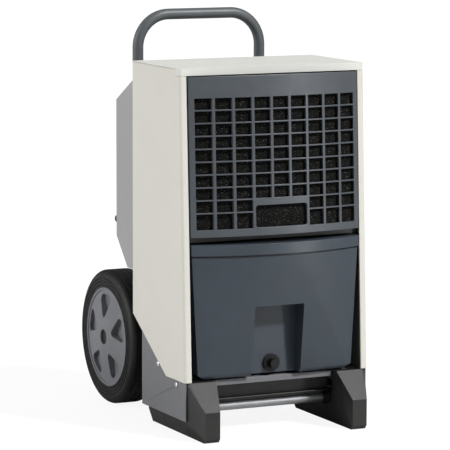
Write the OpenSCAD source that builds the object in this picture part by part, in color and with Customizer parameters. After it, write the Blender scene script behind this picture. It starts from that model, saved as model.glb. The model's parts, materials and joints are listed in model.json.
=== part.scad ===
/* [Body] */
// Width over the two side covers
body_w = 360; // [350:5:380]
// Height of the top cover above the floor
body_top = 650; // [640:5:680]
// Height of the side covers' lower edge above the floor
cover_bottom = 102; // [100:1:104]
// How far the front leans back from bottom to top
lean_back = 25; // [20:1:30]
// Depth from the front's lower edge to the rear edge of the side covers
cover_depth = 227; // [225:1:232]
// Sheet metal thickness of the covers
sheet = 1.5; // [1:0.1:2]
// Width of the folded front flanges
flange_w = 13; // [12:1:15]

/* [Grille] */
// Height of the grille's lower edge above the floor
grille_bottom = 356; // [354:1:360]
// Rows of square holes
grille_rows = 10; // [8:1:10]
// Columns of holes
grille_cols = 9; // [9:2:9]
// Distance between hole columns
grille_pitch_x = 35; // [33:0.5:35]
// Distance between hole rows
grille_pitch_z = 22.4; // [20:0.2:22.4]
// How far the grille bulges forward in the middle
grille_bulge = 27; // [20:1:30]

/* [Water container] */
// Height of the container's underside above the floor
tank_bottom = 104; // [104:0.5:106]
// Height of the lid's top above the floor
tank_top = 343; // [338:1:344]
// Depth of the container from the edges of its front to its back
tank_depth = 180; // [160:5:185]
// Width of the recess in the container's front
recess_w = 96; // [80:2:110]

/* [Wheels] */
// Diameter of the tyres
wheel_d = 250; // [240:5:255]
// Width of the tyres
tyre_w = 60; // [50:2:60]
// Distance from the front's lower edge back to the axle
axle_back = 376; // [374:1:385]
// Width over the two tyres
track_w = 340; // [330:2:344]
// Diameter of the axle
axle_d = 20; // [16:1:20]

/* [Handle] */
// Diameter of the handle tube
handle_d = 20; // [18:1:22]
// Distance between the centre lines of the handle's legs
handle_span = 246.4; // [240:0.4:250]
// Height of the centre line of the handle's top bar
handle_top = 724.6; // [715:0.2:760]
// Centre line radius of the handle's bends
handle_bend = 60; // [50:1:70]
// How far the handle pulls up
handle_travel = 75; // [40:5:75]

/* [Feet] */
// How far the feet stand out in front of the front's lower edge
foot_front = 39; // [35:1:45]
// Width over the two feet at the floor
feet_w = 317; // [310:1:320]
// Width of one foot at the floor
foot_w = 28; // [24:1:32]

/* [Hidden] */

$fn = 72;
eps = 0.01;
fit = 0.06;
clear = 0.4;

cream = "#d9d7cd";
top_white = "#f2f2ec";
slate = "#4d5560";
grille_grey = "#626771";
mid_grey = "#a3a2a2";
chassis_grey = "#75767a";
charcoal = "#3a3a3a";
black = "#1d1d1f";
steel = "#b9bcc0";
copper = "#b06a3c";

// the origin is the centre of the footprint, and every module draws from the front's lower edge
front_y = -(axle_back + wheel_d / 2 - foot_front) / 2;
half_w = body_w / 2;
lean = atan(lean_back / (body_top - cover_bottom));
flange_h = 13;
bend_r = 5;
fold_return = 4;
open_half = half_w - flange_w;
seam = 0.6;

cover_diag_y = 82;
cover_diag_z = 193;
corner_lip = 42;

grille_half = open_half - 2.5;
grille_top = body_top - flange_h - 1.5;
grille_skin = 6;
grille_edge = 2;
hole_w = 30;
hole_h = 19.8;
last_hole_h = 27.4;
grille_border = 15;
thick_bar = 13;
filter_t = 10;

tank_back = 10 + tank_depth;
tank_wall = 3;
tank_body_top = 321;
lid_bottom = tank_body_top + 3;
lid_half = open_half - 3;
lid_nose = -24.5;
lid_bulge = 32;
tank_half_top = lid_half - 1.5;
tank_half_low = tank_half_top - 11.5;
tank_bulge_top = 30;
tank_bulge_low = 5.5;
recess_top = 230;
recess_back = 28;
drain_z = 122;
shelf_z = tank_bottom - 4.4;

pan_z = 62;
pan_t = 2.5;
pan_back = 345;
plate_x = half_w - 2;
plate_t = 2;
plate_bottom = 33;
plate_front = 2.4;
plate_back = 191;
plate_top = 345;
side_screws = [[41, 93], [120, 117]];
bay_half = plate_x - 15;
bay_back = 215;

wheel_r = wheel_d / 2;
tyre_outer = track_w / 2;
tyre_inner = tyre_outer - tyre_w;
rim_r = 92;
rim_face = tyre_outer + 5;
rim_edge = tyre_outer - 0.6;
axle_r = axle_d / 2;
bush_r = axle_r + 4;
bracket_x = 97;
bracket_t = 4;

roof_front = [228, 623];
roof_back = [320, 573];
housing_low = 323;
housing_knee = [270, 270];
housing_half = half_w - 8;
roof_slope = atan((roof_front[1] - roof_back[1]) / (roof_back[0] - roof_front[0]));
housing_screws = [332, 440, 540];
housing_screw_x = 160;
outlet_z = [350, 520];
outlet_half = 92;
gland_x = 150;
gland_z = 410;

fan_z = 475;
fan_r = 112;
fan_y = 178;
bulkhead_y = 223;

leg_y = 332;
leg_r = handle_d / 2;
leg_x = handle_span / 2;
leg_bottom = 262;
clamp_z = 352;
guide_z = 556;
bracket_h = 24;

tube_y = 60;
tube_z = 44.6;
tube_r = 9;
slope_z = 54.5;

float_y = tank_back - 16;
float_z = 300;

comp_y = 285;
comp_r = 52;
coil_half = 140;
coil_low = 366;
coil_high = 606;
evaporator_rows = 9;
condenser_rows = 8;

button_x = [22, 42, 62];

// moves children so that y is counted from the front's lower edge
module from_front() {
    translate([0, front_y, 0]) children();
}

// frame of the leaning front: its origin is on the lower edge of the covers
module leaning() {
    translate([0, 0, cover_bottom]) rotate([-lean, 0, 0]) children();
}

// a plate cut to an outline in the y-z plane, from x0 to x0 + t
module side_plate(points, x0, t) {
    translate([x0, 0, 0]) rotate([90, 0, 90]) linear_extrude(t) polygon(points);
}

// a block given by its lowest and highest corners
module block(low, high) {
    translate(low) cube(high - low);
}

// a cylinder along y from y0 to y1
module rod_y(r, x, z, y0, y1) {
    translate([x, y1, z]) rotate([90, 0, 0]) cylinder(r = r, h = y1 - y0);
}

// a cylinder along x from x0 to x1
module rod_x(r, y, z, x0, x1) {
    translate([x0, y, z]) rotate([0, 90, 0]) cylinder(r = r, h = x1 - x0);
}

function unit(v) = v / norm(v);

// direction of a route at its point i
function heading(route, i) =
    let (n = len(route) - 1)
    i == 0 ? unit(route[1] - route[0]) :
    i == n ? unit(route[n] - route[n - 1]) :
    unit(unit(route[i + 1] - route[i]) + unit(route[i] - route[i - 1]));

// one pair of cross directions for each point of a route, each turned as little as possible
function cross_pairs(route, i, last) =
    i == len(route) ? [] :
    let (t = heading(route, i), a = unit(last - (last * t) * t))
    concat([[a, cross(t, a)]], cross_pairs(route, i + 1, a));

// a pipe swept along a route
module pipe(route, r, first_side) {
    sides = 10;
    pairs = cross_pairs(route, 0, first_side);
    n = len(route);
    ring_points = [
        for (i = [0 : n - 1], k = [0 : sides - 1])
            route[i] + r * (cos(k * 360 / sides) * pairs[i][0] + sin(k * 360 / sides) * pairs[i][1])
    ];
    side_faces = [
        for (i = [0 : n - 2], k = [0 : sides - 1])
            let (next = (k + 1) % sides)
            [i * sides + k, (i + 1) * sides + k, (i + 1) * sides + next, i * sides + next]
    ];
    polyhedron(ring_points, concat(side_faces, [
        [for (k = [0 : sides - 1]) k],
        [for (k = [sides - 1 : -1 : 0]) (n - 1) * sides + k]
    ]));
}

// a rectangle about the origin with round corners
module round_rect(w, h, r) {
    square([w - 2 * r, h], center = true);
    square([w, h - 2 * r], center = true);
    for (sx = [-1, 1], sy = [-1, 1])
        translate([sx * (w / 2 - r), sy * (h / 2 - r)]) circle(r = r);
}

// children on the right and their mirror image on the left
module both_sides() {
    children();
    mirror([1, 0, 0]) children();
}

// radius of an arc that rises by a bulge over a half width
function bow_radius(half, bulge) = (half * half + bulge * bulge) / (2 * bulge);

// plan of a panel with straight sides and back and an arc of radius bow_r for its front
module bowed_plan(half, nose_y, bow_r, back_y) {
    intersection() {
        translate([-half, nose_y]) square([2 * half, back_y - nose_y]);
        translate([0, nose_y + bow_r]) circle(r = bow_r, $fn = 256);
    }
}

// ---- chassis ----

module chassis_side() {
    shoulder = cover_bottom - 1;
    fold_front = 48;
    outline = [
        [plate_front, plate_bottom], [plate_back, plate_bottom], [plate_back, plate_top],
        [22, plate_top], [8, shoulder], [plate_front, shoulder]
    ];
    difference() {
        union() {
            side_plate(outline, plate_x - plate_t, plate_t);
            block([plate_x - 14, fold_front, plate_bottom],
                  [plate_x, plate_back, plate_bottom + plate_t]);
            block([plate_x - 12, plate_back - plate_t, plate_bottom], [plate_x, plate_back, plate_top]);
        }
        for (at = side_screws) rod_x(2.6, at[0], at[1], plate_x - 9, plate_x + 1);
    }
}

module chassis_side_left() {
    color(chassis_grey) from_front() mirror([1, 0, 0]) chassis_side();
}

module chassis_side_right() {
    color(chassis_grey) from_front() chassis_side();
}

module base_pan() {
    narrow = bracket_x - clear;
    plan = [
        [-bay_half, tube_y - 6], [bay_half, tube_y - 6],
        [bay_half, bay_back + 3], [narrow, bay_back + 3], [narrow, pan_back],
        [-narrow, pan_back], [-narrow, bay_back + 3], [-bay_half, bay_back + 3]
    ];
    color(chassis_grey) from_front() difference() {
        translate([0, 0, pan_z]) linear_extrude(pan_t) polygon(plan);
        for (p = mount_points()) translate([p[0], p[1], pan_z - 1]) cylinder(r = 4.2, h = pan_t + 2);
    }
}

module container_shelf() {
    wide = plate_x - plate_t - clear;
    lip_half = feet_w / 2 - foot_w - 14;
    color(chassis_grey) from_front() {
        block([-wide, 20, shelf_z - 2], [wide, plate_back - plate_t - clear, shelf_z]);
        block([-bay_half, 20, shelf_z - 2], [bay_half, bay_back, shelf_z]);
        block([-lip_half, 20, shelf_z - 10], [lip_half, 22, shelf_z]);
        block([-bay_half, bay_back - 2, pan_z + pan_t + clear], [bay_half, bay_back, 215]);
    }
}

module front_crossbar() {
    skirt_low = tube_z + tube_r - 0.2;
    skirt_half = feet_w / 2 - foot_w - 15.5;
    color(charcoal) from_front() {
        block([-skirt_half, 52, skirt_low], [skirt_half, 54, pan_z]);
        block([-126, 52, pan_z - 2], [126, 54, shelf_z - 2.4]);
        block([-126, 40, shelf_z - 4.4], [126, 54, shelf_z - 2.4]);
        block([-126, 40, pan_z - 2], [126, 54, pan_z - 0.4]);
    }
}

// ---- feet ----

// one foot on the right: a block with a sloped face in front and a low rail behind
module foot() {
    inner = feet_w / 2 - foot_w;
    outer = feet_w / 2;
    closed = plate_x - plate_t - clear;
    flare_in = 12;
    flare_out = 9;
    collar = 14;
    difference() {
        union() {
            hull() {
                block([inner, -foot_front, 7], [outer, 10, slope_z]);
                block([inner, -foot_front + 6, 0], [outer, 10, 20]);
                block([inner - flare_in, 2, 96], [outer + flare_out, 18, cover_bottom - 1]);
                block([outer - 1, 4, plate_bottom + 2.4], [closed, 18, cover_bottom - 2]);
                block([inner, 0, 0], [outer, 44, 20]);
            }
            hull() {
                block([inner, 0, 0], [outer, 187, 10]);
                block([inner, 0, 20], [outer, 205, plate_bottom - 0.4]);
            }
            hull() {
                block([inner, 30, 10], [outer, 90, 30]);
                block([inner, 30, 40], [outer, 78, pan_z - 2.4]);
            }
            rod_x(tube_r + 3.5, tube_y, tube_z, inner - collar, inner + foot_w / 2);
        }
        rod_x(tube_r + fit, tube_y, tube_z, inner - collar - 1, inner + foot_w / 2 + 2);
    }
}

module foot_left() {
    color(charcoal) from_front() mirror([1, 0, 0]) foot();
}

module foot_right() {
    color(charcoal) from_front() foot();
}

module cross_tube() {
    half = feet_w / 2 - foot_w / 2;
    color(steel) from_front() difference() {
        rod_x(tube_r, tube_y, tube_z, -half, half);
        rod_x(tube_r - 1.5, tube_y, tube_z, -half - 1, half + 1);
    }
}

// ---- covers ----

// points of a quarter circle of radius r that turns from -y to +x
function quarter(cx, cy, r, steps) =
    [for (i = [0 : steps]) [cx + r * sin(i * 90 / steps), cy - r * cos(i * 90 / steps)]];

function reversed(v) = [for (i = [len(v) - 1 : -1 : 0]) v[i]];

// section of the side cover: inner return, flange, round bend and a wall of a given length
module fold_section(wall_length) {
    x = half_w - bend_r;
    polygon(concat(
        [[open_half + sheet, fold_return], [open_half, fold_return], [open_half, 0]],
        quarter(x, bend_r, bend_r, 8),
        [[half_w, wall_length], [half_w - sheet, wall_length]],
        reversed(quarter(x, bend_r, bend_r - sheet, 8)),
        [[open_half + sheet, sheet]]
    ));
}

module side_cover() {
    fold_top = body_top - flange_h - seam;
    wall_top = body_top - sheet - seam;
    outline = [
        [-10, cover_bottom], [cover_diag_y, cover_bottom], [cover_depth, cover_diag_z],
        [cover_depth, wall_top], [corner_lip + seam, wall_top], [corner_lip + seam, fold_top],
        [-10, fold_top]
    ];
    intersection() {
        leaning() translate([0, 0, -30]) linear_extrude(body_top) fold_section(2 * cover_depth);
        side_plate(outline, open_half - 1, flange_w + 2);
    }
    block([housing_half + 1, cover_depth - sheet, cover_diag_z + 2],
          [half_w - sheet / 2, cover_depth, wall_top]);
}

module side_cover_left() {
    color(cream) from_front() mirror([1, 0, 0]) side_cover();
}

module side_cover_right() {
    color(cream) from_front() side_cover();
}

// plan of the top with its two front corners rounded
module top_plan(inset) {
    r = bend_r - inset;
    x = half_w - inset;
    y = lean_back + inset;
    translate([-x, y + r]) square([2 * x, cover_depth - y - r]);
    translate([-x + r, y]) square([2 * x - 2 * r, r + eps]);
    for (s = [-1, 1]) translate([s * (x - r), y + r]) circle(r = r);
}

module top_cover() {
    color(top_white) from_front() difference() {
        translate([0, 0, body_top - flange_h]) linear_extrude(flange_h) top_plan(0);
        translate([0, 0, body_top - flange_h - 1]) linear_extrude(flange_h + 1 - sheet)
            union() {
                top_plan(sheet);
                translate([-half_w, corner_lip]) square([body_w, cover_depth]);
            }
    }
}

module front_crosspiece() {
    low = tank_top + 2;
    color(charcoal) from_front() {
        block([-open_half + seam, 24, low], [open_half - seam, 24 + sheet, low + 12]);
        block([-open_half + seam, 24, low], [open_half - seam, 50, low + sheet]);
    }
}

// ---- grille and filter ----

function row_z(i) = grille_top - 36 - (i + 0.5) * grille_pitch_z - cover_bottom;

// a curved sheet parallel to the grille's face, set back from it and of a given thickness
module grille_sheet(half, set_back, thick, z0, h) {
    nose = -grille_edge - grille_bulge + set_back;
    bow = bow_radius(grille_half, grille_bulge) - set_back;
    translate([0, 0, z0]) linear_extrude(h) difference() {
        bowed_plan(half, nose, bow, 30);
        bowed_plan(half + 20, nose + thick, bow - thick, 60);
    }
}

module grille_holes() {
    mid = (grille_cols - 1) / 2;
    for (c = [0 : grille_cols - 1], i = [0 : grille_rows - 1]) {
        last = i == grille_rows - 1;
        low = last ? row_z(i) + hole_h / 2 - last_hole_h : row_z(i) - hole_h / 2;
        if (abs(c - mid) > 1.5 || i < grille_rows - 2)
            block([(c - mid) * grille_pitch_x - hole_w / 2, -60, low],
                  [(c - mid) * grille_pitch_x + hole_w / 2, 5, row_z(i) + hole_h / 2]);
    }
}

// the round-cornered window low in the middle of the grille
module grille_window() {
    top = row_z(grille_rows - 2) + hole_h / 2 - thick_bar + 3;
    low = row_z(grille_rows - 1) + hole_h / 2 - last_hole_h + 1;
    translate([0, 5, (top + low) / 2]) rotate([90, 0, 0]) linear_extrude(65)
        round_rect(100, top - low, 5);
}

module grille_panel() {
    h = grille_top - grille_bottom;
    z0 = grille_bottom - cover_bottom;
    nose = -grille_edge - grille_bulge;
    color(grille_grey) from_front() leaning() {
        difference() {
            grille_sheet(grille_half, 0, grille_skin, z0, h);
            grille_holes();
            grille_window();
        }
        for (z = [z0, z0 + h - 3]) translate([0, 0, z]) linear_extrude(3)
            bowed_plan(grille_half, nose, bow_radius(grille_half, grille_bulge), 12);
        for (s = [-1, 1]) block([s > 0 ? grille_half - 3 : -grille_half, -grille_edge, z0],
                                [s > 0 ? grille_half : -grille_half + 3, 12, z0 + h]);
    }
}

module air_filter() {
    z0 = grille_bottom - cover_bottom + 4;
    h = grille_top - grille_bottom - 8;
    color(black) from_front() leaning()
        grille_sheet(grille_half - 4, grille_skin + 0.5, filter_t, z0, h);
}

// ---- water container ----

// plan of the container at one level, its front bowed by a parabola
module tank_plan(half, bulge, inset) {
    n = 14;
    x = half - inset;
    y = 10 + inset;
    front = [for (i = [-n : n]) [x * i / n, y - bulge * (1 - pow(i / n, 2))]];
    back_r = 12;
    hull() {
        polygon(concat(front, [[x, tank_back - inset - back_r], [-x, tank_back - inset - back_r]]));
        for (s = [-1, 1]) translate([s * (x - back_r), tank_back - inset - back_r])
            circle(r = back_r, $fn = 32);
    }
}

module tank_solid(inset) {
    hull() {
        translate([0, 0, tank_bottom + inset]) linear_extrude(eps)
            tank_plan(tank_half_low - 7, tank_bulge_low * 0.8, inset + 5);
        translate([0, 0, tank_bottom + 8]) linear_extrude(eps)
            tank_plan(tank_half_low, tank_bulge_low, inset);
        translate([0, 0, tank_body_top - eps]) linear_extrude(eps)
            tank_plan(tank_half_top, tank_bulge_top, inset);
    }
}

module water_container() {
    r = recess_w / 2;
    color(slate) from_front() {
        difference() {
            union() {
                difference() {
                    tank_solid(0);
                    tank_solid(tank_wall);
                    translate([0, 0, tank_body_top - 5]) linear_extrude(20)
                        tank_plan(tank_half_top, tank_bulge_top, tank_wall);
                }
                intersection() {
                    tank_solid(0);
                    block([-r - tank_wall, -40, 90],
                          [r + tank_wall, recess_back + tank_wall, recess_top + tank_wall]);
                }
            }
            block([-r, -60, 80], [r, recess_back, recess_top]);
            rod_y(6.1, 0, drain_z, 0, 60);
        }
        translate([0, 0, tank_body_top - 4]) linear_extrude(tank_top - tank_body_top - 1)
            difference() {
                tank_plan(tank_half_top, tank_bulge_top, tank_wall - 1);
                tank_plan(tank_half_top, tank_bulge_top, tank_wall + 1.5);
            }
        for (s = [-1, 1]) block([s * 90 - 6, 30, shelf_z + clear], [s * 90 + 6, 175, tank_bottom + 1]);
    }
}

module container_lid() {
    color(slate) from_front() difference() {
        translate([0, 0, lid_bottom]) linear_extrude(tank_top - lid_bottom)
            bowed_plan(lid_half, lid_nose, bow_radius(lid_half, lid_bulge), tank_back - 1);
        translate([0, 0, lid_bottom - 1]) linear_extrude(tank_top - lid_bottom - 1.5)
            tank_plan(tank_half_top, tank_bulge_top, tank_wall - 1.4);
        block([-60, 125, lid_bottom], [60, 172, tank_top + 1]);
    }
}

module drain_fitting() {
    color(black) from_front() difference() {
        union() {
            rod_y(15.8, 0, drain_z, recess_back - 4.2, recess_back - 0.2);
            rod_y(6, 0, drain_z, recess_back - 14, recess_back + 8);
        }
        rod_y(4.2, 0, drain_z, recess_back - 15, recess_back + 9);
    }
}

module drain_cap() {
    color(black) from_front() difference() {
        union() {
            rod_y(8, 0, drain_z, recess_back - 17, recess_back - 4.7);
            for (a = [0 : 30 : 330])
                rod_y(0.8, 8 * cos(a), drain_z + 8 * sin(a), recess_back - 16, recess_back - 6);
        }
        rod_y(6 + fit, 0, drain_z, recess_back - 14.4, recess_back - 4);
    }
}

// ---- level float ----

module float_bracket() {
    color("white") from_front() difference() {
        for (s = [-1, 1])
            block([s * 9 - 1.5, float_y - 6, float_z - 8],
                  [s * 9 + 1.5, tank_back - tank_wall - 0.1, float_z + 8]);
        rod_x(2 + fit, float_y, float_z, -20, 20);
    }
}

module level_float() {
    color("white") from_front() {
        rod_x(2, float_y, float_z, -10.5, 10.5);
        rod_x(4, float_y, float_z, -7, 7);
        block([-4, float_y - 40, float_z - 2], [4, float_y, float_z + 2]);
        block([-25, float_y - 70, float_z - 12], [25, float_y - 36, float_z + 8]);
    }
}

module level_switch() {
    color(black) from_front()
        block([-12, bulkhead_y - 14, 320], [12, bulkhead_y - clear, 344]);
}

// ---- bulkhead, housing and outlet ----

module rear_bulkhead() {
    wide = half_w - 5;
    color(steel) from_front() difference() {
        union() {
            block([-wide, bulkhead_y, 195], [wide, bulkhead_y + sheet, body_top - sheet - 1]);
            block([-bracket_x - 4, bulkhead_y, pan_z + pan_t + clear],
                  [bracket_x + 4, bulkhead_y + sheet, 196]);
            block([-wide, bulkhead_y - 14, body_top - sheet - 2.5],
                  [wide, bulkhead_y, body_top - sheet - 1]);
        }
        rod_y(fan_r + 6, 0, fan_z, bulkhead_y - 20, bulkhead_y + 5);
        for (s = [-1, 1]) rod_y(11, s * 165, 335, bulkhead_y - 5, bulkhead_y + 5);
    }
}

module housing_outline() {
    polygon([
        roof_front, roof_back, [roof_back[0], housing_low], housing_knee,
        [roof_front[0], housing_knee[1]]
    ]);
}

module on_roof() {
    translate([0, (roof_front[0] + roof_back[0]) / 2, (roof_front[1] + roof_back[1]) / 2])
        rotate([-roof_slope, 0, 0]) children();
}

module rear_housing() {
    color(mid_grey) from_front() difference() {
        translate([-housing_half, 0, 0]) rotate([90, 0, 90])
            linear_extrude(2 * housing_half) housing_outline();
        translate([-housing_half + sheet, 0, 0]) rotate([90, 0, 90])
            linear_extrude(2 * (housing_half - sheet)) union() {
                offset(delta = -sheet) housing_outline();
                translate([roof_front[0] - 5, housing_knee[1] + sheet])
                    square([10, roof_front[1] - housing_knee[1] - 2.6 * sheet]);
            }
        block([-outlet_half, 300, outlet_z[0]], [outlet_half, 330, outlet_z[1]]);
        on_roof() block([-86, -30, -10], [86, 30, 10]);
        rod_y(9, gland_x, gland_z, 300, 330);
        for (s = [-1, 1], z = housing_screws) rod_y(2.6, s * housing_screw_x, z, 310, 330);
        block([-bracket_x + 8, 220, 260], [bracket_x - 8, 266, 275]);
    }
}

module outlet_grille() {
    y0 = roof_back[0];
    slats = 11;
    pitch = (outlet_z[1] - outlet_z[0] - 4) / slats;
    color(charcoal) from_front() {
        difference() {
            block([-outlet_half - 8, y0, outlet_z[0] - 8], [outlet_half + 8, y0 + 2.5, outlet_z[1] + 8]);
            block([-outlet_half + 2, y0 - 1, outlet_z[0] + 2], [outlet_half - 2, y0 + 4, outlet_z[1] - 2]);
        }
        for (i = [0 : slats - 1])
            translate([0, y0 - 3.5, outlet_z[0] + 2 + (i + 0.5) * pitch]) rotate([-35, 0, 0])
                cube([2 * outlet_half - 3, 13, 1.6], center = true);
        for (x = [-31, 31]) block([x - 1.5, y0 - 8, outlet_z[0] + 1.5], [x + 1.5, y0 + 1, outlet_z[1] - 1.5]);
        for (s = [-1, 1]) block([s > 0 ? outlet_half - 2 : -outlet_half + 0.3, y0 - 8, outlet_z[0] + 1],
                                [s > 0 ? outlet_half - 0.3 : -outlet_half + 2, y0 + 1, outlet_z[1] - 1]);
    }
}

module compressor_cover() {
    x = bracket_x - 3;
    outline = [
        [bulkhead_y + 3, 66], [347, 66], [347, 236], [328, 264], [268, 268.5], [bulkhead_y + 3, 268.5]
    ];
    color(mid_grey) from_front() difference() {
        side_plate(outline, -x, 2 * x);
        translate([-x + sheet, 0, 0]) rotate([90, 0, 90]) linear_extrude(2 * (x - sheet)) union() {
            offset(delta = -sheet) polygon(outline);
            translate([bulkhead_y, 60]) square([345.5 - bulkhead_y, 40]);
            translate([bulkhead_y, 70]) square([12, 190]);
        }
        for (i = [0 : 5]) block([-50, 340, 90 + i * 12], [50, 350, 95 + i * 12]);
        block([-70, 236, 262], [70, 260, 275]);
    }
}

// ---- refrigeration ----

function mount_points() = [for (a = [90, 210, 330]) [66 * cos(a), comp_y + 50 * sin(a) - 4]];

module compressor() {
    z0 = pan_z + pan_t + 14;
    color(black) from_front() {
        translate([0, comp_y, z0]) rotate_extrude() union() {
            translate([0, 14]) square([comp_r, 118]);
            intersection() {
                translate([0, comp_r]) circle(r = comp_r);
                translate([0, 6]) square([comp_r, 20]);
            }
            translate([0, 132]) intersection() {
                circle(r = comp_r);
                square([comp_r, 34]);
            }
            translate([0, 62]) square([comp_r + 1.5, 8]);
        }
        for (s = [-1, 1]) translate([s * 40, comp_y - 10, z0 + 150]) cylinder(r = 6, h = 18);
        difference() {
            mount_plate(z0);
            for (p = mount_points()) translate([p[0], p[1], z0 - 1]) cylinder(r = 7.2, h = 6);
        }
    }
}

// the three-cornered foot plate under the compressor
module mount_plate(z0) {
    translate([0, 0, z0]) linear_extrude(3) hull() for (p = mount_points())
        translate(p) circle(r = 13, $fn = 32);
}

module compressor_mounts() {
    z0 = pan_z + pan_t;
    color(black) from_front() for (p = mount_points()) translate([p[0], p[1], z0]) rotate_extrude()
        polygon([[0, 0.1], [11, 0.1], [11, 13.8], [7, 13.8], [7, 17.4], [10, 17.4], [10, 20], [0, 20]]);
}

// a coil of finned tube between y0 and y1; the bend between its two lowest tubes is on the side
// first_bend, which is 1 for the right and -1 for the left
module coil(y0, y1, rows, first_bend) {
    fins = 21;
    mid = (y0 + y1) / 2;
    step = (coil_high - coil_low) / rows;
    for (i = [1 : fins - 2]) {
        x = -coil_half + i * 2 * coil_half / (fins - 1);
        block([x - 0.6, y0, coil_low], [x + 0.6, y1, coil_high]);
    }
    for (k = [0 : rows - 1])
        rod_x(4.8, mid, coil_low + (k + 0.5) * step, -coil_half - 6, coil_half + 6);
    for (k = [0 : rows - 2]) {
        s = k % 2 == 0 ? first_bend : -first_bend;
        x = s * (coil_half + 4);
        block([min(x, x + s * 4), mid - 3.5, coil_low + (k + 0.5) * step],
              [max(x, x + s * 4), mid + 3.5, coil_low + (k + 1.5) * step]);
    }
    for (s = [-1, 1])
        block([s > 0 ? coil_half : -coil_half - 1.5, y0 - 2, coil_low - 2],
              [s > 0 ? coil_half + 1.5 : -coil_half, y1 + 2, coil_high + 2]);
}

module evaporator() {
    color(steel) from_front() coil(62, 92, evaporator_rows, 1);
}

module condenser() {
    color(steel) from_front() coil(104, 140, condenser_rows, -1);
}

module drip_tray() {
    low = tank_top + 5;
    color(charcoal) from_front() difference() {
        union() {
            block([-158, 56, low], [158, 150, low + 15]);
            translate([0, 140, low - 2.5]) cylinder(r = 9, h = 6);
        }
        block([-156, 58, low + 2], [156, 148, low + 20]);
        translate([0, 140, low - 4]) cylinder(r = 7, h = 10);
    }
}

module refrigerant_pipes() {
    up = [0, 0, 1];
    low_z = coil_low + (coil_high - coil_low) / condenser_rows / 2;
    high_z = coil_high - (coil_high - coil_low) / condenser_rows / 2;
    suction_z = coil_low + (coil_high - coil_low) / evaporator_rows / 2;
    inlet_z = coil_high - (coil_high - coil_low) / evaporator_rows / 2;
    end_x = coil_half + 6.5;
    hot = [
        [40, comp_y - 10, 247], [40, comp_y - 10, 252], [46, 268, 258], [57, 250, 263],
        [60, 243, 275], [66, 243, 296], [76, 243, 304], [148, 243, 304], [158, 240, 308],
        [164, 230, 326], [166, 216, 346], [166, 190, 356], [166, 132, 366],
        [166, 123, low_z - 6], [162, 122, low_z], [end_x, 122, low_z]
    ];
    cold = [
        [-40, comp_y - 10, 247], [-40, comp_y - 10, 252], [-46, 268, 258], [-57, 250, 263],
        [-60, 243, 275], [-66, 243, 296], [-76, 243, 304], [-148, 243, 304], [-158, 240, 308],
        [-164, 230, 326], [-166, 216, 346], [-166, 180, 356], [-166, 90, 366],
        [-166, 78, suction_z - 6], [-162, 77, suction_z], [-end_x, 77, suction_z]
    ];
    warm_out = [
        [end_x, 122, high_z], [160, 122, high_z], [166, 126, high_z + 2], [166, 150, high_z + 5],
        [166, 188, high_z + 5], [166, 198, high_z + 1], [166, 200, high_z - 9], [166, 200, 558.5]
    ];
    capillary = [
        [166, 200, 481.5], [166, 200, 460], [166, 196, 444], [166, 186, 438], [166, 90, 438],
        [166, 80, 442], [166, 77, 452], [166, 77, 580], [165, 77, 590], [158, 77, inlet_z],
        [end_x, 77, inlet_z]
    ];
    color(copper) from_front() {
        pipe(hot, 4, [1, 0, 0]);
        pipe(cold, 5, [1, 0, 0]);
        pipe(warm_out, 3, up);
        pipe(capillary, 2.5, [1, 0, 0]);
    }
}

module filter_drier() {
    color(copper) from_front() translate([166, 200, 482]) rotate_extrude()
        polygon([[0, 0], [4, 0], [9, 10], [9, 66], [4, 76], [0, 76]]);
}

// ---- fan ----

module fan_shroud() {
    color(black) from_front() translate([0, bulkhead_y - 0.4, fan_z]) rotate([90, 0, 0]) rotate_extrude()
        polygon([[fan_r + 3, 0], [fan_r + 16, 0], [fan_r + 16, 2], [fan_r + 5, 2], [fan_r + 5, 50],
                 [fan_r + 10, 58], [fan_r + 8, 59], [fan_r + 3, 51]]);
}

module motor_bracket() {
    y0 = bulkhead_y + sheet + 0.2;
    color(steel) from_front() difference() {
        union() {
            for (a = [45, 135, 225, 315]) translate([0, y0 + 3, fan_z]) rotate([90, a, 0])
                translate([39, -5, 0.3]) cube([93, 10, 2.4]);
            rod_y(42, 0, fan_z, y0, y0 + 3);
        }
        rod_y(36.4, 0, fan_z, y0 - 1, y0 + 5);
    }
}

module fan_motor() {
    color(charcoal) from_front() difference() {
        union() {
            rod_y(36, 0, fan_z, 218, 268);
            rod_y(14, 0, fan_z, 213, 218 + eps);
            rod_y(12, 0, fan_z, 268 - eps, 273);
        }
        rod_y(4 + fit, 0, fan_z, 200, 240);
    }
}

module fan_impeller() {
    blades = 5;
    color(black) from_front() {
        rod_y(38, 0, fan_z, fan_y, fan_y + 28);
        rod_y(4, 0, fan_z, fan_y + 20, 236);
        for (i = [0 : blades - 1])
            translate([0, fan_y + 14, fan_z]) rotate([90, i * 360 / blades, 0]) hull() {
                rotate([0, 0, -8]) rotate([38, 0, 0]) translate([34, -1, -14]) cube([6, 2, 28]);
                rotate([0, 0, 14]) rotate([24, 0, 0]) translate([fan_r - 14, -28, -1])
                    cube([8, 56, 2]);
            }
    }
}

// ---- electrics ----

module electrical_box() {
    color(black) from_front() difference() {
        block([-130, 232, 520], [-20, 268, 588]);
        block([-127, 235, 523], [-23, 270, 585]);
    }
}

module control_panel() {
    color(charcoal) from_front() on_roof() difference() {
        union() {
            block([-92, -36, 0.1], [92, 36, 3]);
            block([-84, -28, -8], [84, 28, 0.2]);
        }
        block([-82, -26, -9], [82, 26, 0.5]);
        block([-30, -14, -10], [6, 10, 4]);
        for (x = button_x) translate([x, -2, -5]) cylinder(r = 6.5, h = 10);
        block([-75, -13, -10], [-50, 9, 4]);
        for (x = [-42, -36]) translate([x, -2, -5]) cylinder(r = 1.8, h = 10);
    }
}

module display_window() {
    color("#233") from_front() on_roof() block([-29.8, -13.8, 0.6], [5.8, 9.8, 2.6]);
}

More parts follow.
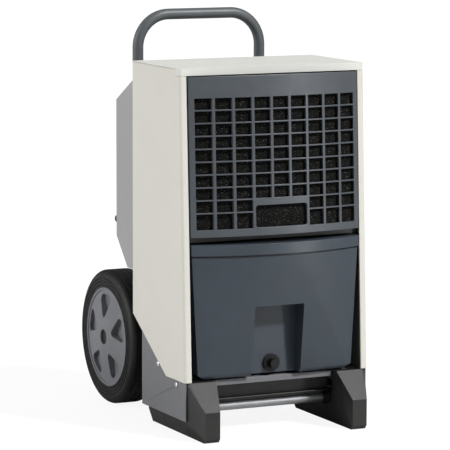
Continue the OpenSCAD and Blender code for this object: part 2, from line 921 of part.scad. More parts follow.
module indicator_lamps() {
    color("green") from_front() on_roof() for (x = [-42, -36]) translate([x, -2, 0.2]) {
        cylinder(r = 1.7, h = 2.2);
        translate([0, 0, 2.2]) sphere(r = 1.7);
    }
}

// a rocker at rest on its off side
module power_switch() {
    color(black) from_front() on_roof() translate([-62.5, -2, -1]) rotate([0, -7, 0]) intersection() {
        block([-11, -10.6, -5], [11, 10.6, 9]);
        translate([0, 15, -15]) rotate([90, 0, 0]) cylinder(r = 20.5, h = 30);
    }
}

module push_button(x) {
    color(mid_grey) from_front() on_roof() translate([x, -2, 0]) {
        translate([0, 0, -1]) cylinder(r = 6.1, h = 6);
        translate([0, 0, -1.4]) cylinder(r = 7.5, h = 1.5);
    }
}

module button_up() {
    push_button(button_x[0]);
}

module button_down() {
    push_button(button_x[1]);
}

module button_mode() {
    push_button(button_x[2]);
}

module cable_gland() {
    color(black) from_front() difference() {
        union() {
            rod_y(8.9, gland_x, gland_z, 310, 321);
            rod_y(13, gland_x, gland_z, 320.1, 325);
            rod_y(10, gland_x, gland_z, 324, 336);
            rod_y(12, gland_x, gland_z, 312, 318.2);
        }
        rod_y(4.2, gland_x, gland_z, 300, 340);
    }
}

module cord_hooks() {
    color(black) from_front() for (z = [110, 210]) {
        block([-12, 347.2, z - 8], [12, 350, z + 8]);
        block([-5, 349, z - 5], [5, 364, z + 5]);
        s = z > 150 ? 1 : -1;
        block([-14, 360, min(z, z + s * 22) - 1], [14, 364, max(z, z + s * 22) + 1]);
    }
}

// ---- handle ----

module handle_path(r) {
    straight = handle_top - handle_bend;
    both_sides() {
        translate([leg_x, leg_y, leg_bottom]) cylinder(r = r, h = straight - leg_bottom);
        translate([leg_x - handle_bend, leg_y, straight]) rotate([90, 0, 0])
            rotate_extrude(angle = 90) translate([handle_bend, 0]) circle(r = r, $fn = 48);
    }
    rod_x(r, leg_y, handle_top, -leg_x + handle_bend, leg_x - handle_bend);
}

module handle_tube() {
    color(charcoal) from_front() difference() {
        handle_path(leg_r);
        difference() {
            handle_path(leg_r - 1.6);
            both_sides() translate([leg_x, leg_y, leg_bottom - 1]) cylinder(r = leg_r, h = 5);
        }
    }
}

module handle_bracket(z, screw) {
    y0 = roof_back[0] + 0.1;
    difference() {
        union() {
            translate([leg_x - 17, y0, z - bracket_h / 2]) cube([34, 13, bracket_h]);
            translate([leg_x, leg_y, z - bracket_h / 2]) cylinder(r = leg_r + 5, h = bracket_h);
        }
        block([leg_x - 30, y0 - 20, z - bracket_h], [leg_x + 30, y0, z + bracket_h]);
        translate([leg_x, leg_y, z - bracket_h]) cylinder(r = leg_r + fit, h = 2 * bracket_h);
        if (screw) rod_x(3 + fit, leg_y - 3, z, leg_x + 5, leg_x + 30);
    }
}

module handle_brackets() {
    color(black) from_front() both_sides() {
        handle_bracket(guide_z, false);
        handle_bracket(clamp_z, true);
    }
}

// one clamp screw on the right: a ribbed knob on a stud that stops just short of the tube
module clamp_knob() {
    y = leg_y - 3;
    rib_at = 4.6;
    rod_x(3, y, clamp_z, leg_x + 10.2, leg_x + 30);
    rod_x(5.2, y, clamp_z, leg_x + 26, leg_x + 46);
    for (a = [0 : 60 : 300])
        rod_x(1.8, y + rib_at * cos(a), clamp_z + rib_at * sin(a), leg_x + 27, leg_x + 45);
}

module clamp_knob_left() {
    color(black) from_front() mirror([1, 0, 0]) clamp_knob();
}

module clamp_knob_right() {
    color(black) from_front() clamp_knob();
}

// ---- wheels ----

// revolves a section about the axle; the section's x is the radius, its y the distance from the middle
module about_axle() {
    translate([0, axle_back, wheel_r]) rotate([90, 0, 90]) rotate_extrude($fn = 128) children();
}

module tyre() {
    shoulder = 12;
    about_axle() difference() {
        union() {
            translate([rim_r + fit, tyre_inner]) square([wheel_r - shoulder - rim_r - fit, tyre_w]);
            translate([wheel_r - shoulder - eps, tyre_inner + shoulder])
                square([shoulder + eps, tyre_w - 2 * shoulder]);
            for (x = [tyre_inner + shoulder, tyre_outer - shoulder]) translate([wheel_r - shoulder, x])
                circle(r = shoulder);
        }
        for (x = [-18, -6, 6, 18]) translate([wheel_r, tyre_outer - tyre_w / 2 + x])
            circle(r = 2.2, $fn = 24);
        for (r = [97, 103, 109]) translate([r, tyre_outer]) circle(r = 1.6, $fn = 24);
    }
}

module tyre_left() {
    color(black) from_front() mirror([1, 0, 0]) tyre();
}

module tyre_right() {
    color(black) from_front() tyre();
}

module rim() {
    back = tyre_inner + 2;
    difference() {
        about_axle() polygon([
            [bush_r + 0.05, back], [bush_r + 10, back], [bush_r + 10, rim_face - 18],
            [rim_r - 5, rim_face - 18], [rim_r - 5, back], [rim_r, back],
            [rim_r, rim_edge], [rim_r - 5, rim_edge], [rim_r - 5, rim_face - 7],
            [34, rim_face], [bush_r + 0.05, rim_face]
        ]);
        for (i = [0 : 4]) translate([0, axle_back, wheel_r]) rotate([i * 72, 0, 0])
            translate([rim_face - 13.5, 0, 0]) rotate([90, 0, 90]) linear_extrude(20) hull() {
                translate([0, 44]) circle(r = 7, $fn = 32);
                for (s = [-1, 1]) translate([s * 13, 70]) circle(r = 9, $fn = 32);
            }
    }
}

module rim_left() {
    color(chassis_grey) from_front() mirror([1, 0, 0]) rim();
}

module rim_right() {
    color(chassis_grey) from_front() rim();
}

// the plain bush that runs on the axle, and the cap that closes the hub
module wheel_bushes() {
    about_axle() {
        translate([axle_r + fit, tyre_inner + 2]) square([bush_r - axle_r - fit, rim_face - tyre_inner - 8]);
        translate([0, rim_face - 4.5]) square([bush_r, 1.5]);
        translate([bush_r - 2, rim_face - 6.1]) square([2, 2]);
    }
}

module wheel_bushes_left() {
    color(black) from_front() mirror([1, 0, 0]) wheel_bushes();
}

module wheel_bushes_right() {
    color(black) from_front() wheel_bushes();
}

module axle() {
    half = rim_face - 6.5;
    color(steel) from_front() rod_x(axle_r, axle_back, wheel_r, -half, half);
}

module axle_spacers() {
    color(steel) from_front() both_sides() difference() {
        rod_x(axle_r + 5, axle_back, wheel_r, bracket_x + bracket_t + 0.1, tyre_inner + 1.6);
        rod_x(axle_r + fit, axle_back, wheel_r, bracket_x, tyre_inner + 5);
    }
}

module axle_brackets() {
    under = pan_z - clear;
    outline = [
        [120, 42], [330, 42], [394, 100], [398, 125], [390, 148], [362, 150],
        [300, 120], [228, 118], [228, under], [120, under]
    ];
    color(chassis_grey) from_front() both_sides() difference() {
        side_plate(outline, bracket_x, bracket_t);
        rod_x(axle_r + fit, axle_back, wheel_r, bracket_x - 1, bracket_x + bracket_t + 1);
    }
}

// ---- fasteners ----

// a pan head screw along z whose head rests on the plane z = 0
module pan_screw() {
    rotate_extrude() polygon([[0, -7], [2.4, -7], [2.4, 0.05], [5, 0.05], [5, 1], [3.6, 1.7], [0, 1.9]]);
}

module fasteners() {
    color(steel) from_front() both_sides() {
        for (at = side_screws) translate([plate_x, at[0], at[1]]) rotate([0, 90, 0]) pan_screw();
        for (z = housing_screws)
            translate([housing_screw_x, roof_back[0], z]) rotate([-90, 0, 0]) pan_screw();
    }
}

chassis_side_left();
chassis_side_right();
base_pan();
container_shelf();
front_crossbar();
foot_left();
foot_right();
cross_tube();
side_cover_left();
side_cover_right();
top_cover();
front_crosspiece();
rear_bulkhead();
rear_housing();
outlet_grille();
compressor_cover();
compressor();
compressor_mounts();
evaporator();
condenser();
drip_tray();
refrigerant_pipes();
filter_drier();
fan_shroud();
motor_bracket();
fan_motor();
electrical_box();
control_panel();
display_window();
indicator_lamps();
cable_gland();
cord_hooks();
handle_brackets();
axle_brackets();
axle();
axle_spacers();
level_switch();
fasteners();
grille_panel();
air_filter();
water_container();
container_lid();
drain_fitting();
drain_cap();
float_bracket();
level_float();
handle_tube();
clamp_knob_left();
clamp_knob_right();
tyre_left();
tyre_right();
rim_left();
rim_right();
wheel_bushes_left();
wheel_bushes_right();
fan_impeller();
power_switch();
button_up();
button_down();
button_mode();
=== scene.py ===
"""The looks of a wheeled dehumidifier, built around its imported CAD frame.

All sizes are in metres, in the frame's own axes: the front faces -Y and +Z is up.
"""

import json
import math

import bmesh
import bpy
from mathutils import Matrix, Vector, noise


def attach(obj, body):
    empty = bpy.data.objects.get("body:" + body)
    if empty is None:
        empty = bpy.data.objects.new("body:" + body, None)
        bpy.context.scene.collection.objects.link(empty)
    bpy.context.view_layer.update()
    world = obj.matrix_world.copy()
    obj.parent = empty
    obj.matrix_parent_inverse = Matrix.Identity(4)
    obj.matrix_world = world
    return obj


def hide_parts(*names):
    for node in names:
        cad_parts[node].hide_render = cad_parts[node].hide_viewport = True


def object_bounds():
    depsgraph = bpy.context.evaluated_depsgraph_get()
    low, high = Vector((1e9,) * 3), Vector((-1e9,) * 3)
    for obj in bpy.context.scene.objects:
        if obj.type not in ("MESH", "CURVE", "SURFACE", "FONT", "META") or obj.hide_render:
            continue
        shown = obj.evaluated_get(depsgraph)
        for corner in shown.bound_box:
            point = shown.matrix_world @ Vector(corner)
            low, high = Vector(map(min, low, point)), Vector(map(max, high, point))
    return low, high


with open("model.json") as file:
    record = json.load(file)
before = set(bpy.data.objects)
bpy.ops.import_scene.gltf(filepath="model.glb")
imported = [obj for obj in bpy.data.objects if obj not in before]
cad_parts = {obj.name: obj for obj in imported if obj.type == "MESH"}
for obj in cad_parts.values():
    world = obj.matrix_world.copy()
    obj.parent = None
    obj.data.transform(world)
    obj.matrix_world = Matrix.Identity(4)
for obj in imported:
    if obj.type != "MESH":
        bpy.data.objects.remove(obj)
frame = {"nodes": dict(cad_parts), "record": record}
CAD_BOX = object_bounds()
NODES = frame["nodes"]


# ---- objects ----


def add_object(name, data):
    o = bpy.data.objects.new(name, data)
    bpy.context.scene.collection.objects.link(o)
    return o


def add_piece(name, mesh, material):
    """A new object made from a bmesh, which is freed."""
    bmesh.ops.recalc_face_normals(mesh, faces=mesh.faces)
    data = bpy.data.meshes.new(name)
    mesh.to_mesh(data)
    mesh.free()
    data.materials.append(material)
    return add_object(name, data)


def split_edges(o, angle_deg):
    """Ends smooth shading at edges that turn by more than an angle."""
    split = o.modifiers.new("shading", "EDGE_SPLIT")
    split.split_angle = math.radians(angle_deg)


# ---- camera, lights and floor ----

CAMERA_PLACE = (-2.2272, -4.7008, 1.0435)
CAMERA_AZIMUTH = -25.41
CAMERA_ELEVATION = 7.67
CAMERA_ROLL = 0.14
CAMERA_LENS = 229.45
CAMERA_SENSOR = 36.0
CAMERA_REACH = 100.0

AMBIENT = 0.2
# name, direction the rays come from, strength, spread in degrees, seen in reflections
SUNS = (
    ("key", (0.394, -0.607, 0.690), 3.5, 7, True),
    ("top", (0.05, 0.10, 1.0), 0.25, 60, True),
    ("side", (-0.93, 0.25, 0.27), 2.15, 50, True),
    ("back", (0.45, 0.85, 0.30), 1.3, 60, False),
)
STRIP_AZIMUTH = 32.5
STRIP_DISTANCE = 1.6
STRIP_WIDTH = 0.09
STRIP_HEIGHT = 2.0
STRIP_POWER = 9

FLOOR_HALF = 30.0
FLOOR_GLOW = 0.90


def away(azimuth_deg, elevation_deg):
    """The direction to a place around the object; azimuth 0 is in front, and + is to the right."""
    azimuth = math.radians(azimuth_deg)
    elevation = math.radians(elevation_deg)
    return Vector((
        math.sin(azimuth) * math.cos(elevation),
        -math.cos(azimuth) * math.cos(elevation),
        math.sin(elevation),
    ))


def make_camera():
    """The camera at the photograph's place."""
    data = bpy.data.cameras.new("camera")
    data.sensor_width = CAMERA_SENSOR
    data.lens = CAMERA_LENS
    data.clip_end = CAMERA_REACH
    camera = add_object("camera", data)
    camera.rotation_mode = "QUATERNION"
    back = away(CAMERA_AZIMUTH, CAMERA_ELEVATION)
    turn = back.to_track_quat("Z", "Y").to_matrix().to_4x4()
    roll = Matrix.Rotation(math.radians(CAMERA_ROLL), 4, "Z")
    camera.matrix_world = Matrix.Translation(CAMERA_PLACE) @ turn @ roll
    bpy.context.scene.camera = camera


def add_light(name, data, direction):
    """A light whose rays come from a direction."""
    light = add_object(name, data)
    light.rotation_mode = "QUATERNION"
    light.rotation_quaternion = Vector(direction).to_track_quat("Z", "Y")
    return light


def make_suns():
    for name, direction, strength, spread_deg, in_gloss in SUNS:
        data = bpy.data.lights.new(name, "SUN")
        data.energy = strength
        data.angle = math.radians(spread_deg)
        add_light(name, data, direction).visible_glossy = in_gloss


def make_strip():
    """An upright strip of light that is seen in gloss alone."""
    data = bpy.data.lights.new("strip", "AREA")
    data.shape = "RECTANGLE"
    data.size = STRIP_WIDTH
    data.size_y = STRIP_HEIGHT
    data.energy = STRIP_POWER
    out = away(STRIP_AZIMUTH, 0.0)
    light = add_light("strip", data, out)
    light.location = out * STRIP_DISTANCE + Vector((0.0, 0.0, STRIP_HEIGHT / 2))
    light.visible_diffuse = False
    light.visible_camera = False


def make_world():
    """A white surround that is seen at full strength and lights the object at AMBIENT of it."""
    world = bpy.data.worlds.new("studio")
    world.use_nodes = True
    tree = world.node_tree
    background = tree.nodes["Background"]
    background.inputs["Color"].default_value = (1.0, 1.0, 1.0, 1.0)
    path = tree.nodes.new("ShaderNodeLightPath")
    strength = tree.nodes.new("ShaderNodeMapRange")
    strength.inputs["To Min"].default_value = AMBIENT
    strength.inputs["To Max"].default_value = 1.0
    tree.links.new(path.outputs["Is Camera Ray"], strength.inputs["Value"])
    tree.links.new(strength.outputs["Result"], background.inputs["Strength"])
    bpy.context.scene.world = world
    bpy.context.scene.view_settings.view_transform = "Standard"


def make_floor():
    mesh = bpy.data.meshes.new("floor")
    corners = [(x * FLOOR_HALF, y * FLOOR_HALF, 0) for x, y in ((-1, -1), (1, -1), (1, 1), (-1, 1))]
    mesh.from_pydata(corners, [], [(0, 1, 2, 3)])
    mesh.materials.append(floor_material())
    add_object("floor", mesh)


# ---- material tools ----


class Shader:
    """A new material, with short ways to add and join its nodes."""

    def __init__(self, name):
        self.material = bpy.data.materials.new(name)
        self.material.use_nodes = True
        self.tree = self.material.node_tree
        self.place = self.node("TexCoord").outputs["Object"]

    def fill(self, node, **inputs):
        """Gives inputs a value or another node's output; an underscore stands for a space."""
        for name, value in inputs.items():
            socket = node.inputs[name.replace("_", " ")]
            if isinstance(value, bpy.types.NodeSocket):
                self.tree.links.new(value, socket)
            elif socket.type == "RGBA":
                socket.default_value = (*value, 1.0)
            else:
                socket.default_value = value

    def node(self, kind, **inputs):
        node = self.tree.nodes.new("ShaderNode" + kind)
        self.fill(node, **inputs)
        return node

    def finish(self, **inputs):
        """Fills the shader's own inputs, and gives the material."""
        self.fill(self.tree.nodes["Principled BSDF"], **inputs)
        return self.material

    def noise(self, scale, detail=2.0, rough=0.5, vector=None):
        vector = vector or self.place
        node = self.node("TexNoise", Scale=scale, Detail=detail, Roughness=rough, Vector=vector)
        return node.outputs["Fac"]

    def cells(self, scale):
        """The distance from the nearest cell's middle, and the cell's own colour."""
        node = self.node("TexVoronoi", Scale=scale, Vector=self.place)
        return node.outputs["Distance"], node.outputs["Color"]

    def ramp(self, value, low, low_colour, high, high_colour):
        """A colour that goes from one to another as the value goes from low to high."""
        node = self.node("ValToRGB", Fac=value)
        for element, at, colour in zip(node.color_ramp.elements, (low, high), (low_colour, high_colour)):
            element.position = at
            element.color = (*colour, 1.0)
        return node.outputs["Color"]

    def toned(self, value, colour, dark, light, low=0.3, high=0.7):
        """A colour made darker and lighter by two factors as the value goes from low to high."""
        return self.ramp(value, low, shade(colour, dark), high, shade(colour, light))

    def mapped(self, value, low, high, out_low, out_high):
        node = self.node(
            "MapRange", Value=value, From_Min=low, From_Max=high, To_Min=out_low, To_Max=out_high)
        return node.outputs["Result"]

    def uneven(self, scale, low, high):
        """A number that drifts between two limits over patches of the surface."""
        return self.mapped(self.noise(scale, 3.0), 0.3, 0.7, low, high)

    def mix(self, factor, a, b):
        node = self.node("Mix")
        node.data_type = "RGBA"
        self.fill(node, Factor=factor, A=a, B=b)
        return node.outputs["Result"]

    def dusty(self, tone, amount, bottom, top, dust):
        """Mixes dust into a colour, from an amount at the bottom to none at the top."""
        height = self.node("SeparateXYZ", Vector=self.place).outputs["Z"]
        return self.mix(self.mapped(height, bottom, top, amount, 0.0), tone, dust)

    def bump(self, value, strength, distance, **below):
        node = self.node("Bump", Height=value, Strength=strength, Distance=distance, **below)
        return node.outputs["Normal"]


def shade(colour, factor):
    return tuple(min(1.0, c * factor) for c in colour)


# ---- materials ----

# scales of noise and cells count features per metre; heights and bump distances are in metres
METAL_DUST = (0.30, 0.28, 0.25)
PLASTIC_DUST = (0.22, 0.21, 0.19)
RUBBER_DUST = (0.20, 0.18, 0.16)
PAPER_LIGHT = (0.51, 0.51, 0.51)
PAPER_DARK = (0.49, 0.49, 0.49)
PAPER_SEEN = (0.12, 0.12, 0.12)


def floor_material():
    """A backlit sheet, so that the shadow on it stays light."""
    s = Shader("floor_paper")
    seen = s.node("LightPath").outputs["Is Camera Ray"]
    paper = s.ramp(s.noise(3.0), 0.3, PAPER_DARK, 0.7, PAPER_LIGHT)
    return s.finish(
        Base_Color=s.mix(seen, paper, PAPER_SEEN),
        Roughness=1.0,
        Specular_IOR_Level=0.0,
        Emission_Color=(1.0, 1.0, 1.0),
        Emission_Strength=s.mapped(seen, 0.0, 1.0, 0.0, FLOOR_GLOW),
    )


def powder_coat(name, colour, rough, peel=0.10, dust=0.0):
    """Painted sheet metal: orange peel, faint tone changes, and dust towards the floor."""
    s = Shader(name)
    tone = s.toned(s.noise(14.0, 4.0), colour, 0.985, 1.01)
    if dust:
        tone = s.dusty(tone, dust, 0.03, 0.22, METAL_DUST)
    fine = s.bump(s.noise(1100.0, 2.0), peel, 0.0004)
    return s.finish(
        Base_Color=tone,
        Roughness=s.uneven(55.0, rough - 0.04, rough + 0.05),
        Normal=s.bump(s.noise(260.0, 1.0), peel, 0.0006, Normal=fine),
    )


def moulded(name, colour, rough, grain=0.15, dust=0.0, gloss=0.5):
    """Moulded plastic: a fine spark-eroded grain and a slightly uneven sheen."""
    s = Shader(name)
    tone = s.toned(s.noise(22.0, 3.0), colour, 0.94, 1.05)
    if dust:
        tone = s.dusty(tone, dust, 0.0, 0.10, PLASTIC_DUST)
    pits, _ = s.cells(1500.0)
    return s.finish(
        Base_Color=tone,
        Roughness=s.uneven(70.0, rough - 0.05, rough + 0.06),
        Specular_IOR_Level=gloss,
        Normal=s.bump(pits, grain, 0.0003),
    )


def rubber(name, colour, rough=0.78, dust=0.05):
    """Rubber with patches of dust."""
    s = Shader(name)
    tone = s.toned(s.noise(40.0, 5.0), colour, 0.8, 1.25)
    patches = s.mapped(s.noise(9.0, 4.0), 0.45, 0.8, 0.0, dust)
    return s.finish(
        Base_Color=s.mix(patches, tone, RUBBER_DUST),
        Roughness=s.uneven(120.0, rough - 0.08, rough + 0.08),
        Specular_IOR_Level=0.30,
        Normal=s.bump(s.noise(900.0, 3.0), 0.25, 0.0004),
    )


def foam(name):
    """Open-cell filter foam: pores painted darker towards their middles, which is painted shade in the
    holes, and painted highlights, light specks put into the colour on scattered struts.
    """
    s = Shader(name)
    pores, _ = s.cells(520.0)
    # painted shade: the foam's colour darkens towards each pore's middle, as if shaded inside the hole
    pore_shaded_colour = s.ramp(pores, 0.15, (0.002, 0.002, 0.002), 0.75, (0.011, 0.0105, 0.010))
    # painted highlight: light specks put into the colour on a few cells picked at random, not where
    # light falls
    from_strut, strut = s.cells(640.0)
    number = s.node("SeparateColor", Color=strut).outputs[0]
    chosen = s.mapped(number, 0.80, 0.98, 0.0, 1.0)
    near = s.mapped(from_strut, 0.22, 0.42, 1.0, 0.0)
    painted_glint = s.node("Math")
    painted_glint.operation = "MULTIPLY"
    s.tree.links.new(chosen, painted_glint.inputs[0])
    s.tree.links.new(near, painted_glint.inputs[1])
    return s.finish(
        Base_Color=s.mix(painted_glint.outputs["Value"], pore_shaded_colour, (0.20, 0.195, 0.18)),
        Roughness=0.95,
        Specular_IOR_Level=0.10,
        Normal=s.bump(pores, 0.8, 0.0016),
    )


def metal(name, colour, rough, along=(1, 1, 1)):
    """Bare or plated metal with fine drawing marks across the scale given by along."""
    s = Shader(name)
    stretched = s.node("Mapping", Vector=s.place, Scale=along).outputs["Vector"]
    marks = s.noise(260.0, 4.0, 0.6, stretched)
    return s.finish(
        Base_Color=s.toned(marks, colour, 0.86, 1.08, 0.25, 0.75),
        Roughness=s.mapped(marks, 0.25, 0.75, rough - 0.08, rough + 0.12),
        Metallic=1.0,
        Normal=s.bump(marks, 0.12, 0.0002),
    )


def galvanised(name):
    """Zinc-coated sheet, with the spangle of its crystals."""
    s = Shader(name)
    spangle, _ = s.cells(60.0)
    return s.finish(
        Base_Color=s.ramp(spangle, 0.1, (0.40, 0.41, 0.43), 0.8, (0.56, 0.57, 0.59)),
        Roughness=s.uneven(90.0, 0.38, 0.55),
        Metallic=1.0,
        Normal=s.bump(spangle, 0.05, 0.0003),
    )


def dark_glass(name, colour):
    s = Shader(name)
    return s.finish(
        Base_Color=s.toned(s.noise(30.0), colour, 0.8, 1.2),
        Roughness=s.uneven(150.0, 0.04, 0.10),
        Coat_Weight=0.6,
        Coat_Roughness=0.05,
    )


# the record's material slots, and the looks that a slot has no name for
LOOKS = {
    "cover_paint": (powder_coat, dict(colour=(0.655, 0.640, 0.580), rough=0.42)),
    "top_paint": (powder_coat, dict(colour=(0.69, 0.69, 0.65), rough=0.34, peel=0.06)),
    "chassis_paint": (
        powder_coat, dict(colour=(0.150, 0.153, 0.164), rough=0.42, peel=0.05, dust=0.03)),
    "housing_paint": (powder_coat, dict(colour=(0.33, 0.325, 0.325), rough=0.40)),
    "foot_plastic": (moulded, dict(colour=(0.0105, 0.0102, 0.0099), rough=0.46, dust=0.03)),
    # near-black paint; on the front crosspiece behind the gap under the grille it is painted shade,
    # standing in for the shade of that gap
    "crossbar_paint": (powder_coat, dict(colour=(0.030, 0.029, 0.028), rough=0.45)),
    "tube_steel": (metal, dict(colour=(0.40, 0.41, 0.42), rough=0.50, along=(0.12, 1, 1))),
    "zinc_sheet": (galvanised, {}),
    "grille_plastic": (moulded, dict(colour=(0.066, 0.076, 0.088), rough=0.40, grain=0.05)),
    "filter_foam": (foam, {}),
    "lid_plastic": (moulded, dict(colour=(0.038, 0.051, 0.065), rough=0.34, grain=0.0)),
    "tank_plastic": (moulded, dict(colour=(0.037, 0.050, 0.064), rough=0.38, grain=0.05)),
    "black_plastic": (moulded, dict(colour=(0.009, 0.009, 0.009), rough=0.42, gloss=0.28)),
    "white_plastic": (moulded, dict(colour=(0.62, 0.62, 0.60), rough=0.45)),
    "handle_paint": (powder_coat, dict(colour=(0.076, 0.084, 0.090), rough=0.46, peel=0.05)),
    "tyre_rubber": (rubber, dict(colour=(0.006, 0.0056, 0.0052), rough=0.52)),
    "rim_plastic": (moulded, dict(colour=(0.152, 0.160, 0.172), rough=0.40)),
    "copper": (metal, dict(colour=(0.62, 0.28, 0.16), rough=0.34)),
    "fin_aluminium": (metal, dict(colour=(0.60, 0.60, 0.60), rough=0.42, along=(6, 1, 0.2))),
    "compressor_paint": (powder_coat, dict(colour=(0.014, 0.014, 0.015), rough=0.22)),
    "display_glass": (dark_glass, dict(colour=(0.012, 0.020, 0.020))),
    "lamp_green": (dark_glass, dict(colour=(0.03, 0.35, 0.07))),
    "key_plastic": (moulded, dict(colour=(0.33, 0.33, 0.33), rough=0.48)),
    "rubber": (rubber, dict(colour=(0.02, 0.02, 0.02), dust=0.0)),
    "screw_zinc": (metal, dict(colour=(0.80, 0.80, 0.79), rough=0.26)),
}
MATERIALS = {name: make(name, **look) for name, (make, look) in LOOKS.items()}


# ---- CAD nodes: edge rounding and materials ----

# a node whose finish differs from that of its slot: the lid is glossier than the container
OWN_LOOK = {"container_lid": "lid_plastic"}
ROUNDED_ANGLE = 35
SPLIT_ANGLE = 40
WELD_GAP = 1e-5
BEVEL_STEPS = 3
FLAT_FACE_WEIGHT = 60
EDGE_RADIUS = {
    "side_cover_left": 0.0005, "side_cover_right": 0.0005, "top_cover": 0.0007,
    "chassis_side_left": 0.0005, "chassis_side_right": 0.0005, "container_shelf": 0.0005,
    "front_crossbar": 0.0006, "foot_left": 0.0022, "foot_right": 0.0022, "rear_housing": 0.0006,
    "compressor_cover": 0.0006, "outlet_grille": 0.0003, "control_panel": 0.0006,
    "grille_panel": 0.0011, "rim_left": 0.0012, "rim_right": 0.0012, "cord_hooks": 0.0012,
    "handle_brackets": 0.0010, "clamp_knob_left": 0.0005, "clamp_knob_right": 0.0005,
    "drain_cap": 0.0004, "power_switch": 0.0005, "cable_gland": 0.0005, "axle_brackets": 0.0006,
    "front_crosspiece": 0.0004, "button_up": 0.0004, "button_down": 0.0004, "button_mode": 0.0004,
    "fan_impeller": 0.0005, "fan_motor": 0.0010, "electrical_box": 0.0008, "rear_bulkhead": 0.0004,
    "water_container": 0.0012, "container_lid": 0.0035, "level_float": 0.0010, "base_pan": 0.0005,
}


def finish_node(name, material):
    """Gives a CAD node its material, and rounds its hard edges where a radius is set."""
    o = NODES[name]
    o.data.materials.clear()
    o.data.materials.append(material)
    weld = o.modifiers.new("weld", "WELD")
    weld.merge_threshold = WELD_GAP
    radius = EDGE_RADIUS.get(name)
    if radius:
        bevel = o.modifiers.new("edges", "BEVEL")
        bevel.width = radius
        bevel.segments = BEVEL_STEPS
        bevel.limit_method = "ANGLE"
        bevel.angle_limit = math.radians(ROUNDED_ANGLE)
    split_edges(o, SPLIT_ANGLE)
    if radius:
        even = o.modifiers.new("even", "WEIGHTED_NORMAL")
        even.keep_sharp = True
        even.weight = FLAT_FACE_WEIGHT
    for polygon in o.data.polygons:
        polygon.use_smooth = True


def finish_nodes():
    slots = {row["node"]: row["material_slot"] for row in frame["record"]["subparts"]}
    for name in NODES:
        finish_node(name, MATERIALS[OWN_LOOK.get(name, slots[name])])


# ---- foam filter ----

# the foam lies behind the curved grille, which leans back with the cabinet's front
FRONT_Y = CAD_BOX[0][1] + 0.039
FRONT_LOW_Z = 0.102
FRONT_LEAN = math.atan2(0.025, 0.548)
FOAM_HALF = 0.1605
FOAM_NOSE = -0.0225
FOAM_BOW = 0.5081
FOAM_LOW = 0.258
FOAM_HEIGHT = 0.2715
FOAM_THICK = 0.010
FOAM_COLUMNS = 200
FOAM_ROWS = 170
FOAM_SPLIT_ANGLE = 60
PORES_PER_METRE = 230.0
PORE_REACH = 0.55
PORE_DEPTH = 0.0017
ROUGH_DEPTH = 0.0003
ROUGH_SCALE = 2.7


def leaning(x, y, z):
    """A point of the leaning front, in the frame's axes."""
    c, s = math.cos(FRONT_LEAN), math.sin(FRONT_LEAN)
    return Vector((x, FRONT_Y + y * c + z * s, FRONT_LOW_Z - y * s + z * c))


def pore_depth(x, z):
    """How far the foam's face is sunk at a place: round pores of several sizes, side by side."""
    place = Vector((x, 0.0, z)) * PORES_PER_METRE
    near = noise.voronoi(place)[0][0]
    pit = max(0.0, 1.0 - near / PORE_REACH)
    return PORE_DEPTH * pit * pit + ROUGH_DEPTH * (1.0 + noise.noise(place * ROUGH_SCALE))


def foam_filter():
    """A slab of foam with a face of open pores and plain cut sides."""
    columns, rows = FOAM_COLUMNS, FOAM_ROWS
    mesh = bmesh.new()
    front, back = [], []
    for i in range(columns + 1):
        x = FOAM_HALF * (2 * i / columns - 1)
        face = FOAM_NOSE + FOAM_BOW - math.sqrt(FOAM_BOW ** 2 - x * x)
        column = []
        for k in range(rows + 1):
            z = FOAM_LOW + FOAM_HEIGHT * k / rows
            cut = i in (0, columns) or k in (0, rows)
            sunk = 0.0 if cut else pore_depth(x, z)
            column.append(mesh.verts.new(leaning(x, face + sunk, z)))
        front.append(column)
        ends = (FOAM_LOW, FOAM_LOW + FOAM_HEIGHT)
        back.append([mesh.verts.new(leaning(x, face + FOAM_THICK, z)) for z in ends])
    for i in range(columns):
        for k in range(rows):
            mesh.faces.new((front[i][k], front[i + 1][k], front[i + 1][k + 1], front[i][k + 1]))
        mesh.faces.new((back[i][0], back[i][1], back[i + 1][1], back[i + 1][0]))
        mesh.faces.new((front[i][0], back[i][0], back[i + 1][0], front[i + 1][0]))
        mesh.faces.new((front[i][rows], front[i + 1][rows], back[i + 1][1], back[i][1]))
    mesh.faces.new([*front[0], back[0][1], back[0][0]])
    mesh.faces.new([back[columns][0], back[columns][1], *reversed(front[columns])])
    for face in mesh.faces:
        face.smooth = len(face.verts) == 4
    piece = add_piece("foam_filter", mesh, MATERIALS["filter_foam"])
    split_edges(piece, FOAM_SPLIT_ANGLE)
    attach(piece, "grille")
    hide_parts("air_filter")


# ---- screws ----

SCREW_TURNS = 36
# radius and height, from the buried shank to the top of the head
SCREW_PROFILE = (
    (0.0, -0.0045), (0.0024, -0.0045), (0.0024, 0.00005), (0.0049, 0.00005), (0.0050, 0.0002),
    (0.0050, 0.0009), (0.0047, 0.0013), (0.0038, 0.0017), (0.0020, 0.00195), (0.0, 0.0020),
)
SCREW_SPLIT_ANGLE = 30
TURN_PER_SCREW = 0.9
RECESS_ARM = 0.0029
RECESS_HALF_WIDTH = 0.0006
RECESS_BOTTOM = 0.0005
RECESS_TOP = 0.0032
RECESS_TAPER = 0.6
PLATE_X = 0.178
PLATE_SCREWS = ((0.041, 0.093), (0.120, 0.117))
HOUSING_BACK = 0.320
HOUSING_SCREW_X = 0.160
HOUSING_SCREWS = (0.332, 0.440, 0.540)


def lathe(mesh, profile, turns):
    """Revolves a profile of (radius, height) about Z; its ends are on the axis."""
    angles = [2 * math.pi * i / turns for i in range(turns)]
    rings = []
    for radius, height in profile:
        if radius == 0.0:
            rings.append([mesh.verts.new((0.0, 0.0, height))] * turns)
            continue
        circle = [(radius * math.cos(a), radius * math.sin(a), height) for a in angles]
        rings.append([mesh.verts.new(point) for point in circle])
    for low, high in zip(rings, rings[1:]):
        for i in range(turns):
            j = (i + 1) % turns
            corners = dict.fromkeys((low[i], low[j], high[j], high[i]))
            mesh.faces.new(list(corners))


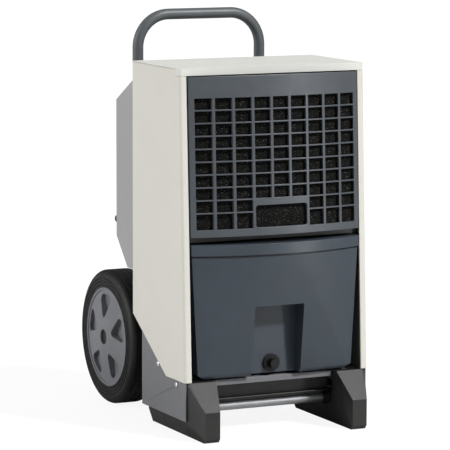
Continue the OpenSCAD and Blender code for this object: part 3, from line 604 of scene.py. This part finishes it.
def recess_prism(mesh):
    """A tapered plus-shaped prism, the recess that a screwdriver fits."""
    a, w = RECESS_ARM, RECESS_HALF_WIDTH
    quarter = [(a, -w), (a, w), (w, w)]
    outline = []
    for _ in range(4):
        outline += quarter
        quarter = [(-y, x) for x, y in quarter]
    bottom = [mesh.verts.new((RECESS_TAPER * x, RECESS_TAPER * y, RECESS_BOTTOM)) for x, y in outline]
    top = [mesh.verts.new((x, y, RECESS_TOP)) for x, y in outline]
    mesh.faces.new(list(reversed(bottom)))
    mesh.faces.new(top)
    for i in range(len(outline)):
        j = (i + 1) % len(outline)
        mesh.faces.new((bottom[i], bottom[j], top[j], top[i]))


def screw_mesh():
    """A pan head screw with a cross recess, its head on the plane z = 0."""
    head = bmesh.new()
    lathe(head, SCREW_PROFILE, SCREW_TURNS)
    screw = add_piece("screw_blank", head, MATERIALS["screw_zinc"])
    prism = bmesh.new()
    recess_prism(prism)
    cutter = add_piece("screw_cutter", prism, MATERIALS["screw_zinc"])
    cut = screw.modifiers.new("recess", "BOOLEAN")
    cut.object = cutter
    cut.operation = "DIFFERENCE"
    cut.solver = "EXACT"
    graph = bpy.context.evaluated_depsgraph_get()
    data = bpy.data.meshes.new_from_object(screw.evaluated_get(graph))
    bpy.data.objects.remove(screw)
    bpy.data.objects.remove(cutter)
    return data


def screws():
    """Every screw of the cabinet as one piece; each is turned by its own angle."""
    blank = screw_mesh()
    to_back = Matrix.Rotation(-math.pi / 2, 4, "X")
    places = []
    for side in (-1, 1):
        to_side = Matrix.Rotation(side * math.pi / 2, 4, "Y")
        places += [((side * PLATE_X, FRONT_Y + y, z), to_side) for y, z in PLATE_SCREWS]
        x, y = side * HOUSING_SCREW_X, FRONT_Y + HOUSING_BACK
        places += [((x, y, z), to_back) for z in HOUSING_SCREWS]
    mesh = bmesh.new()
    for i, (place, turned) in enumerate(places):
        one = blank.copy()
        spin = Matrix.Rotation(TURN_PER_SCREW * i, 4, "Z")
        one.transform(Matrix.Translation(place) @ turned @ spin)
        mesh.from_mesh(one)
        bpy.data.meshes.remove(one)
    for face in mesh.faces:
        face.smooth = True
    piece = add_piece("screws", mesh, MATERIALS["screw_zinc"])
    split_edges(piece, SCREW_SPLIT_ANGLE)
    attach(piece, "cabinet")
    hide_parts("fasteners")


make_camera()
make_world()
make_suns()
make_strip()
make_floor()
finish_nodes()
foam_filter()
screws()
